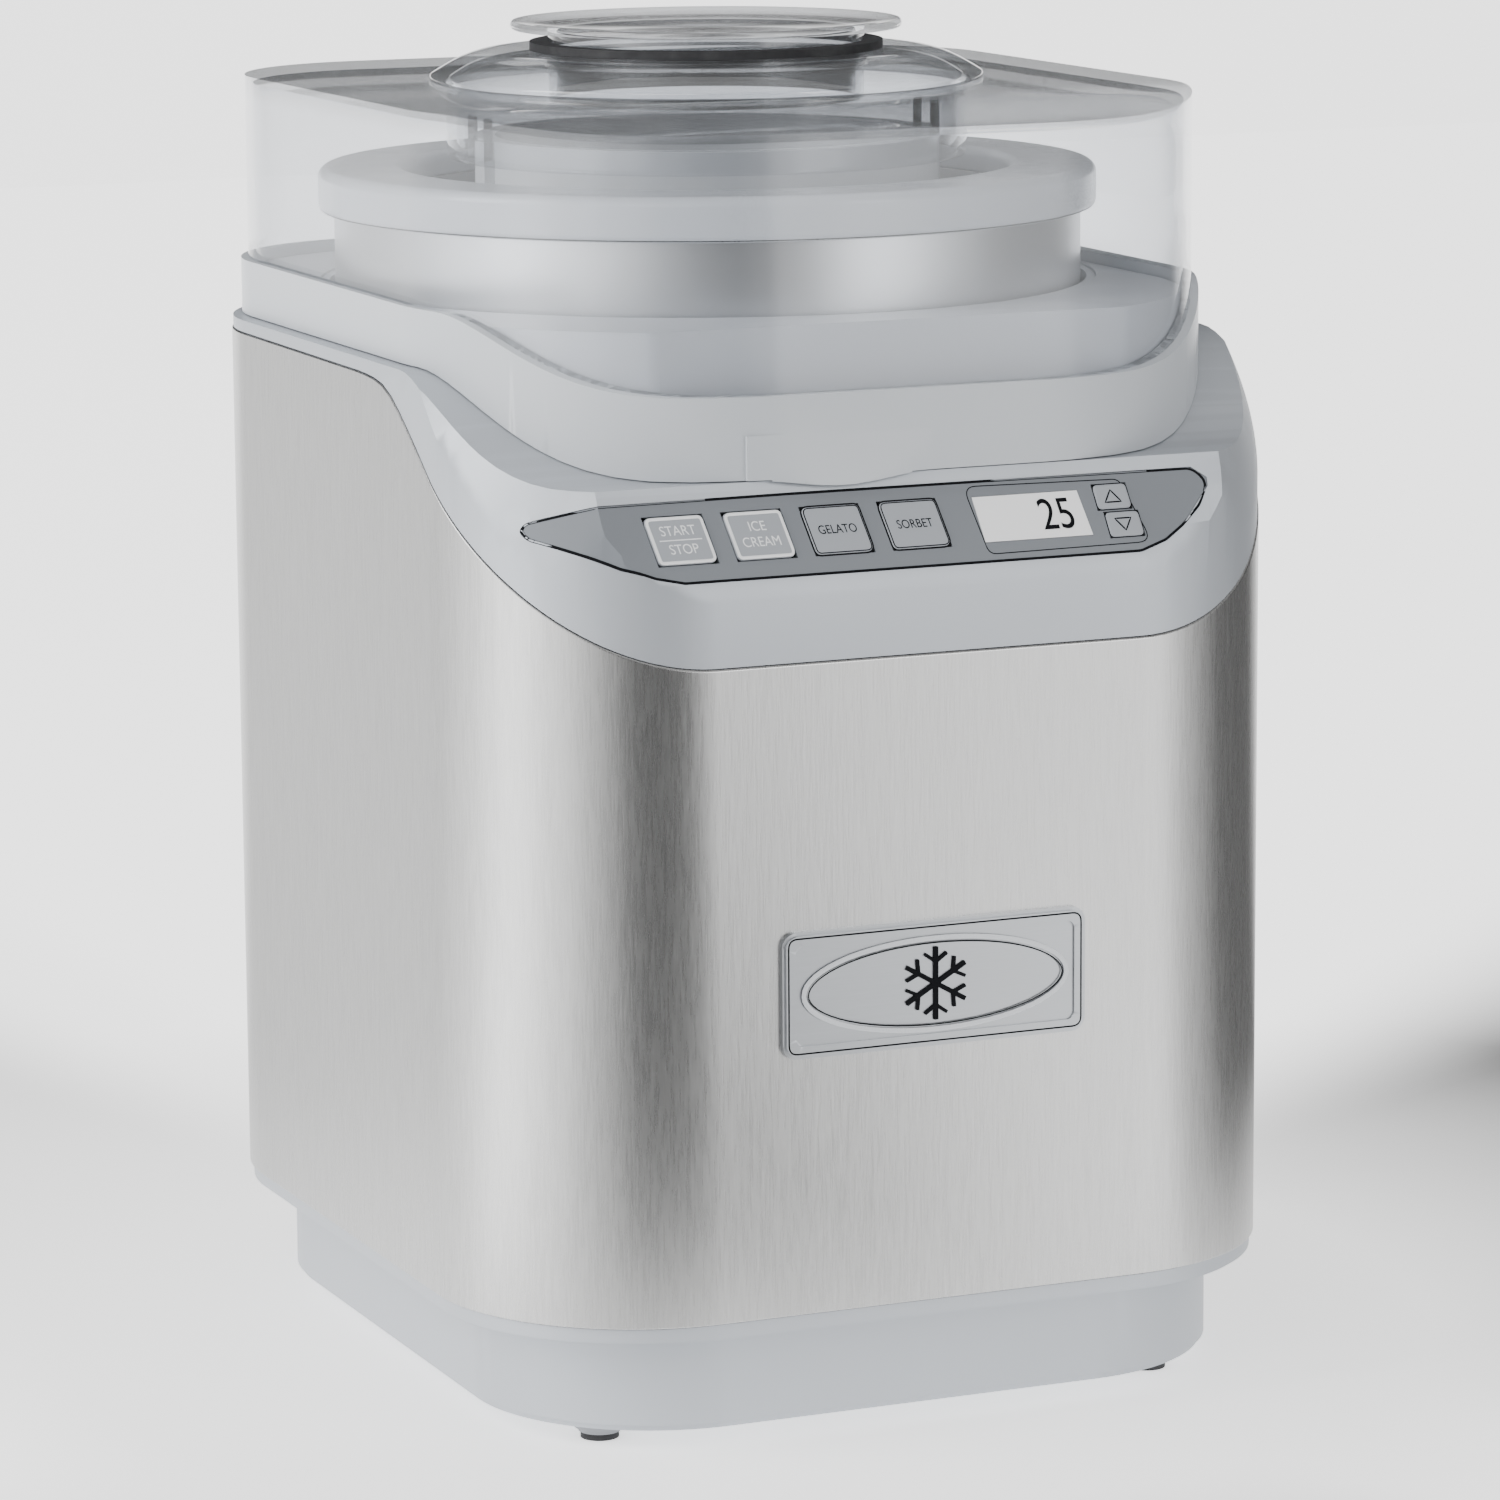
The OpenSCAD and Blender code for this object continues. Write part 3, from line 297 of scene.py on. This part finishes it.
# ---------------------------------------------------------------- rounded edges on the CAD nodes
# bevel widths in millimetres
EDGE = {"base_tray": 1.4, "upper_housing": 0.7, "steel_wrap": 0.25, "rear_panel": 0.4, "control_panel": 0.2,
        "badge_plate": 0.35, "badge_emblem": 0.12, "lid_cover": 0.8, "lid_band": 0.7, "lid_collar": 0.7,
        "spout_cap": 0.4, "bowl_rim": 0.9, "bowl_platform": 1.0, "bowl_shell": 0.3, "bowl_liner": 0.3,
        "paddle": 0.7, "feet": 0.5, "foot_pads": 0.3, "cord_gland": 0.3, "drive_spindle": 0.3,
        "gearbox_base": 0.5, "gearbox_cover": 0.4, "motor_can": 0.5, "motor_end_cap": 0.4}
for name, width in EDGE.items():
    o = NODE[name]
    weld = o.modifiers.new("weld", "WELD")
    weld.merge_threshold = 0.00001
    bev = o.modifiers.new("edge", "BEVEL")
    bev.width = width * MM
    bev.segments = 3
    bev.limit_method = "ANGLE"
    bev.angle_limit = rad(32)
    bev.use_clamp_overlap = True
    nor = o.modifiers.new("normals", "WEIGHTED_NORMAL")
    nor.weight = 100


# ---------------------------------------------------------------- the slope that the panel lies on
# the crease at its foot, the direction up the slope and the one out of it
SLOPE = math.atan2(10, 25.5)
S0 = Vector((0, -113.2, 197.5)) * MM
ES = Vector((0, sin(SLOPE), cos(SLOPE)))
EN = Vector((0, -cos(SLOPE), sin(SLOPE)))


def skin(names):
    """The surface of some CAD nodes, to drop points onto."""
    verts, faces = [], []
    for n in names:
        base = len(verts)
        verts += [v.co.copy() for v in NODE[n].data.vertices]
        faces += [[base + i for i in f.vertices] for f in NODE[n].data.polygons]
    return BVHTree.FromPolygons(verts, faces)


PANEL_SKIN = skin(["upper_housing", "control_panel"])


def at(x, s, up=0.0):
    """A point x to the right and s up the slope, raised by up, all in millimetres."""
    return S0 + Vector((x * MM, 0, 0)) + ES * (s * MM) + EN * (up * MM)


def on_panel(x, s, up=0.0):
    """The point of the front's surface at (x, s), raised by up. The surface turns away at the corners."""
    p, nor, _, _ = PANEL_SKIN.ray_cast(at(x, s, 30), -EN)
    if p is None or (p - at(x, s)).dot(EN) < -16 * MM:
        return at(x, s, up)
    return p + (nor if nor.dot(EN) > 0 else -nor) * (up * MM)


def node_box(name):
    """The two far corners of a CAD node's box."""
    o = NODE[name]
    pts = [o.matrix_world @ Vector(c) for c in o.bound_box]
    return [Vector([f(p[k] for p in pts) for k in range(3)]) for f in (min, max)]


def piece(name, verts, faces, mat, body, smooth=False):
    """A mesh of its own that rides on a body."""
    mesh = bpy.data.meshes.new(name)
    mesh.from_pydata([tuple(v) for v in verts], [], faces)
    mesh.update()
    o = bpy.data.objects.new(name, mesh)
    bpy.context.collection.objects.link(o)
    o.data.materials.append(M[mat])
    if smooth:
        o.data.shade_smooth()
        o.data.set_sharp_from_angle(angle=rad(40))
    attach(o, body)
    return o


def rounded(points, r, steps=6):
    """A closed outline with its corners rounded to r, or to what their sides allow."""
    out, n = [], len(points)
    for i in range(n):
        a, p, b = (Vector(points[(i + k) % n]) for k in (-1, 0, 1))
        u, v = (a - p).normalized(), (b - p).normalized()
        half = math.acos(max(-1, min(1, u.dot(v)))) / 2
        if half > rad(86):
            out.append(p)
            continue
        cut = min(r / math.tan(half), (a - p).length * 0.48, (b - p).length * 0.48)
        for k in range(steps + 1):
            w = k / steps
            out.append((p + u * cut) * (1 - w) ** 2 + p * (2 * w * (1 - w)) + (p + v * cut) * w ** 2)
    return out


def dense(points, step=1.2):
    """A closed outline with points no further apart than about step."""
    out, n = [], len(points)
    for i in range(n):
        a, b = points[i], points[(i + 1) % n]
        k = max(1, int((b - a).length / step))
        out += [a.lerp(b, j / k) for j in range(k)]
    return out


def inset(points, d):
    """The outline moved inwards by d (outwards when d is negative)."""
    n = len(points)
    area2 = sum(points[i].x * points[(i + 1) % n].y - points[(i + 1) % n].x * points[i].y for i in range(n))
    side = 1 if area2 > 0 else -1
    out = []
    for i in range(n):
        t = (points[(i + 1) % n] - points[i - 1]).normalized()
        out.append(points[i] + Vector((-t.y, t.x)) * (d * side))
    return out


def ribbon(name, outline, width, mat, body, place, up=0.05, thick=0.12):
    """A raised line that follows a closed outline, with a crowned top."""
    rings = [(-width / 2, up - thick), (-width / 2, up), (-width / 4, up + 0.03), (width / 4, up + 0.03),
             (width / 2, up), (width / 2, up - thick)]
    verts, n = [], len(outline)
    for d, h in rings:
        verts += [place(p.x, p.y, h) for p in inset(outline, d)]
    faces = [[r * n + i, r * n + (i + 1) % n, (r + 1) * n + (i + 1) % n, (r + 1) * n + i]
             for r in range(len(rings) - 1) for i in range(n)]
    return piece(name, verts, faces, mat, body)


def words(name, text, size, centre, mat, body, place, lean=0.0, wide=1.0, up=0.06, bold=0.0):
    """Lettering laid on a surface, as thin printed shapes."""
    cu = bpy.data.curves.new(name, "FONT")
    cu.body, cu.size, cu.align_x, cu.align_y = text, size, "CENTER", "CENTER"
    cu.offset = bold
    tmp = bpy.data.objects.new(name + "_tmp", cu)
    bpy.context.collection.objects.link(tmp)
    bpy.context.view_layer.update()
    flat = bpy.data.meshes.new_from_object(tmp.evaluated_get(bpy.context.evaluated_depsgraph_get()))
    pts = [place(centre[0] + v.co.x * wide - v.co.y * lean, centre[1] + v.co.y, up) for v in flat.vertices]
    faces = [list(f.vertices) for f in flat.polygons]
    bpy.data.objects.remove(tmp)
    bpy.data.meshes.remove(flat)
    return piece(name, pts, faces, mat, body)


# ---------------------------------------------------------------- panel, keys and display
# the panel's outline on the slope, in millimetres
PANEL = [Vector(p) for p in [(-91.3, 22.6), (-90.2, 23.8), (-30.7, 24.1), (17.3, 24), (70.0, 23.8),
                             (73.3, 20.2), (70.3, 15.1), (65.3, 10.7), (60.4, 7.5), (53.7, 5.3),
                             (-59.3, 5.3), (-66, 6.8), (-73.6, 9.8), (-81.4, 14.4), (-90.2, 20.3)]]
KEY_W, KEY_H, KEY_STEP, KEY_SLANT = 14.2, 11.1, 19.05, 2.5
LEAN = KEY_SLANT / KEY_H
PLATE_TOP = 0.4


def key_plate(key, shape, insets):
    """A key's plate with a rounded top edge, in place of the CAD's key."""
    heights = (-1.6, 0.0, 0.2, 0.34, 0.39, PLATE_TOP)
    n, last = len(shape), len(heights) - 1
    verts = [at(p.x, p.y, up) for d, up in zip(insets, heights) for p in inset(shape, d)]
    faces = [[r * n + k, r * n + (k + 1) % n, (r + 1) * n + (k + 1) % n, (r + 1) * n + k]
             for r in range(last) for k in range(n)]
    faces += [[last * n + k for k in range(n)], list(range(n))[::-1]]
    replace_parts(piece(key + "_plate", verts, faces, "key_plastic", key + "_body", True), key)


def label(name, text, size, centre, key, ink, wide):
    words(name, text, size, centre, ink, key + "_body", at, LEAN, wide, PLATE_TOP + 0.04)


def start_bar(cx, cy, ink):
    """The line between the two words of the start key."""
    half, top, foot = 5.1, cy + 0.15, cy - 0.1
    bar = [Vector(p) for p in ((cx - half, top), (cx + half, top), (cx + half, foot), (cx - half, foot))]
    piece("start_bar", [at(p.x, p.y, 0.44) for p in bar] + [at(p.x, p.y, 0.38) for p in bar],
          [(0, 1, 2, 3), (0, 4, 5, 1), (1, 5, 6, 2), (2, 6, 7, 3), (3, 7, 4, 0)], ink, "key_start_body")


ribbon("panel_groove", dense(rounded(PANEL, 4.5)), 0.62, "emblem", "machine", on_panel)

KEYS = [("key_start", "window"), ("key_ice_cream", "window"),
        ("key_gelato", "emblem"), ("key_sorbet", "emblem")]
for i, (key, ink) in enumerate(KEYS):
    x0, y0 = -67.3 + KEY_STEP * i, 9.6
    shape = rounded([Vector((x0, y0 + KEY_H)), Vector((x0 + KEY_SLANT, y0)),
                     Vector((x0 + KEY_W + KEY_SLANT, y0)), Vector((x0 + KEY_W, y0 + KEY_H))], 1.6)
    body = key + "_body"
    key_plate(key, shape, (0.0, 0.0, 0.07, 0.25, 0.55, 0.85))
    if ink == "window":
        ribbon(key + "_frame", inset(shape, 0.5), 0.7, ink, body, at, 0.41, 0.12)
    else:
        # painted shadow: a dark line round the key, laid on the panel
        ribbon(key + "_shadow", inset(shape, -0.12), 0.5, ink, "machine", on_panel, 0.02, 0.1)
        ribbon(key + "_frame", inset(shape, 0.35), 0.3, ink, body, at, 0.36, 0.1)
    cx, cy = x0 + KEY_W / 2 + KEY_SLANT / 2, y0 + KEY_H / 2
    if key == "key_start":
        label("start_word", "START", 3.2, (cx - 0.45, cy + 2.1), key, ink, 0.92)
        label("stop_word", "STOP", 3.2, (cx + 0.5, cy - 2.2), key, ink, 0.92)
        start_bar(cx, cy, ink)
    elif key == "key_ice_cream":
        label("ice_word", "ICE", 3.2, (cx - 0.4, cy + 1.9), key, ink, 0.92)
        label("cream_word", "CREAM", 3.2, (cx + 0.3, cy - 1.7), key, ink, 0.9)
    else:
        label(key[4:] + "_word", key[4:].upper(), 2.9, (cx, cy), key, ink, 0.86)

# arrow keys: a small raised plate each, with an open triangle
for key, cx, cy, way in (("key_up", 48.2, 18.4, 1), ("key_down", 50.3, 11.8, -1)):
    shape = rounded([Vector((cx - 4.4, cy + 2.9)), Vector((cx - 3.6, cy - 2.9)),
                     Vector((cx + 4.9, cy - 2.9)), Vector((cx + 4.0, cy + 2.9))], 1.2)
    key_plate(key, shape, (0.0, 0.0, 0.07, 0.22, 0.45, 0.7))
    tri = [Vector((cx - 2.0 + 0.2 * way, cy - 1.35 * way)), Vector((cx + 2.1 + 0.2 * way, cy - 1.35 * way)),
           Vector((cx + 0.05 - 0.2 * way, cy + 1.5 * way))]
    ribbon(key + "_arrow", dense(tri, 0.6), 0.36, "emblem", key + "_body", at, 0.42, 0.04)
    # painted shadow: a dark line round the arrow key, laid on the panel
    ribbon(key + "_shadow", inset(shape, -0.1), 0.28, "emblem", "machine", on_panel, 0.02, 0.1)

# display: a thin frame line and two digits
FRAME = [Vector(p) for p in [(11.7, 23.0), (50.8, 22.4), (56.8, 7.3), (15.6, 7.0)]]
ribbon("display_frame", dense(rounded(FRAME, 2.4)), 0.24, "emblem", "machine", on_panel, 0.03)
words("display_digits", "25", 10.4, (33.9, 14.9), "emblem", "machine", at, LEAN * 0.8, 0.86, 0.16, 0.012)

# ---------------------------------------------------------------- badge
# the CAD's plate and snowflake stay; added are a dark line round the plate's edge, a painted shadow of its
# raised edge, and a raised almond-shaped rim about the snowflake
plate = node_box("badge_plate")


def on_badge(x, z, up=0.0):
    """A point on the badge's face, x and z in millimetres from its middle."""
    return Vector(((plate[0].x + plate[1].x) / 2 + x * MM, plate[0].y - up * MM,
                   (plate[0].z + plate[1].z) / 2 + z * MM))


half_w = (plate[1].x - plate[0].x) / 2 / MM
half_h = (plate[1].z - plate[0].z) / 2 / MM
corners = [Vector((sx * (half_w - 1.3), sz * (half_h - 1.3)))
           for sx, sz in ((-1, -1), (1, -1), (1, 1), (-1, 1))]
# painted shadow: a dark line round the badge plate's edge
ribbon("badge_edge_shadow", dense(rounded(corners, 2.2)), 0.4, "emblem", "machine", on_badge, 0.02, 0.06)
almond = [Vector((-(half_w - 5) * math.cos(k * math.pi / 30), (half_h - 4) * math.sin(k * math.pi / 30)))
          for k in range(60)]
ribbon("badge_rim", almond, 1.1, "bowl_rim", "machine", on_badge, 0.08, 0.3)
ribbon("badge_rim_line", inset(almond, 1.1), 0.3, "emblem", "machine", on_badge, 0.03, 0.06)


# ---------------------------------------------------------------- studio
# brightness of the surroundings by direction in degrees: the bright and dark stripes seen in the steel
STOPS = [(-180, 2.6), (-132, 2.5), (-116, 0.08), (-74, 0.08), (-50, 0.8), (-37, 2.3), (-23, 2.3), (-13, 0.6),
         (-2, 0.02), (24, 0.02), (42, 0.8), (60, 2.0), (84, 3.6), (110, 2.0), (140, 1.4), (162, 1.4),
         (174, 2.4), (180, 2.6)]
BRIGHTEST = 3.6
UPPER_GLOW = 0.34
NEAR_GLOW = 1.25
NEAR, FAR = 0.17, 0.36


def lobes(t, x, y):
    """Brightness by compass direction: 0 is the front, positive turns to the left side."""
    turn = t.math("ARCTAN2", t.math("MULTIPLY", x, -1.0), t.math("MULTIPLY", y, -1.0))
    place = t.math("ADD", t.math("DIVIDE", turn, 2 * math.pi), 0.5)
    ramp = t.n("ShaderNodeValToRGB", Fac=place)
    ramp.color_ramp.interpolation = "EASE"
    el = ramp.color_ramp.elements
    el[1].position = STOPS[1][0] / 360 + 0.5
    for deg, _ in STOPS[2:]:
        el.new(deg / 360 + 0.5)
    for k, (_, v) in enumerate(STOPS):
        el[k].color = (v / BRIGHTEST, v / BRIGHTEST, v / BRIGHTEST, 1)
    return t.math("MULTIPLY", ramp.outputs[0], BRIGHTEST)


# the world: the stops low down, dark above behind the object, an even glow overhead
world = bpy.data.worlds.new("world")
bpy.context.scene.world = world
world.use_nodes = True
wt = Tree(world.node_tree)
d = wt.n("ShaderNodeSeparateXYZ", Vector=wt.n("ShaderNodeTexCoord").outputs["Generated"])
side = lobes(wt, d.outputs[0], d.outputs[1])
low = wt.span(d.outputs[2], 1.0, 0.0, -0.02, 0.06)
high = wt.span(d.outputs[2], 0.0, 1.0, 0.35, 0.75)
behind = wt.span(d.outputs[1], 0.0, 1.0, 0.2, 0.6)
upper = wt.math("MULTIPLY", side, wt.span(behind, 1.0, 0.03))
above = wt.math("MULTIPLY", upper, wt.math("SUBTRACT", 1.0, low))
a = wt.math("ADD", wt.math("MULTIPLY", side, low), above)
overhead = wt.math("MULTIPLY", high, UPPER_GLOW)
a = wt.math("ADD", wt.math("MULTIPLY", a, wt.math("SUBTRACT", 1.0, high)), overhead)
wt.n("ShaderNodeOutputWorld", Surface=wt.n("ShaderNodeBackground", Color=(1, 1, 1, 1), Strength=a))

# the floor: pale near the object, the same stops further off
fm = bmesh.new()
bmesh.ops.create_grid(fm, x_segments=40, y_segments=40, size=3.0)
mesh = bpy.data.meshes.new("floor")
fm.to_mesh(mesh)
floor = bpy.data.objects.new("floor", mesh)
bpy.context.collection.objects.link(floor)
fmat, t = new_mat("floor_sweep")
pos = t.n("ShaderNodeTexCoord").outputs["Object"]
d = t.n("ShaderNodeSeparateXYZ", Vector=pos)
r = t.math("SQRT", t.math("ADD", t.math("MULTIPLY", d.outputs[0], d.outputs[0]),
                          t.math("MULTIPLY", d.outputs[1], d.outputs[1])))
far = t.span(r, 0.0, 1.0, NEAR, FAR)
glow = t.math("ADD", t.math("MULTIPLY", far, lobes(t, d.outputs[0], d.outputs[1])),
              t.math("MULTIPLY", t.math("SUBTRACT", 1.0, far), NEAR_GLOW))
grain = t.noise(pos, 600, 2)
tone = t.mix(t.math("MULTIPLY", far, 0.9), t.mix(grain, (0.80, 0.80, 0.80, 1), (0.82, 0.82, 0.82, 1)),
             (0.05, 0.05, 0.05, 1))
b = t.n("ShaderNodeBsdfPrincipled", Base__Color=tone,
        Roughness=0.7, Emission__Color=(1, 1, 1, 1), Emission__Strength=glow)
t.n("ShaderNodeOutputMaterial", Surface=b)
floor.data.materials.append(fmat)

area("left", (-1.8, 0.1, 1.3), (0, 0, 0.18), (1.0, 1.4), 30)
area("key", (-1.3, -1.5, 1.7), (0, 0, 0.15), (1.2, 1.2), 10)
area("top", (0.1, 0.2, 1.9), (0, 0, 0.15), (1.5, 1.5), 6)
area("right", (0.9, -1.9, 0.9), (0, 0, 0.15), (0.5, 1.2), 7)
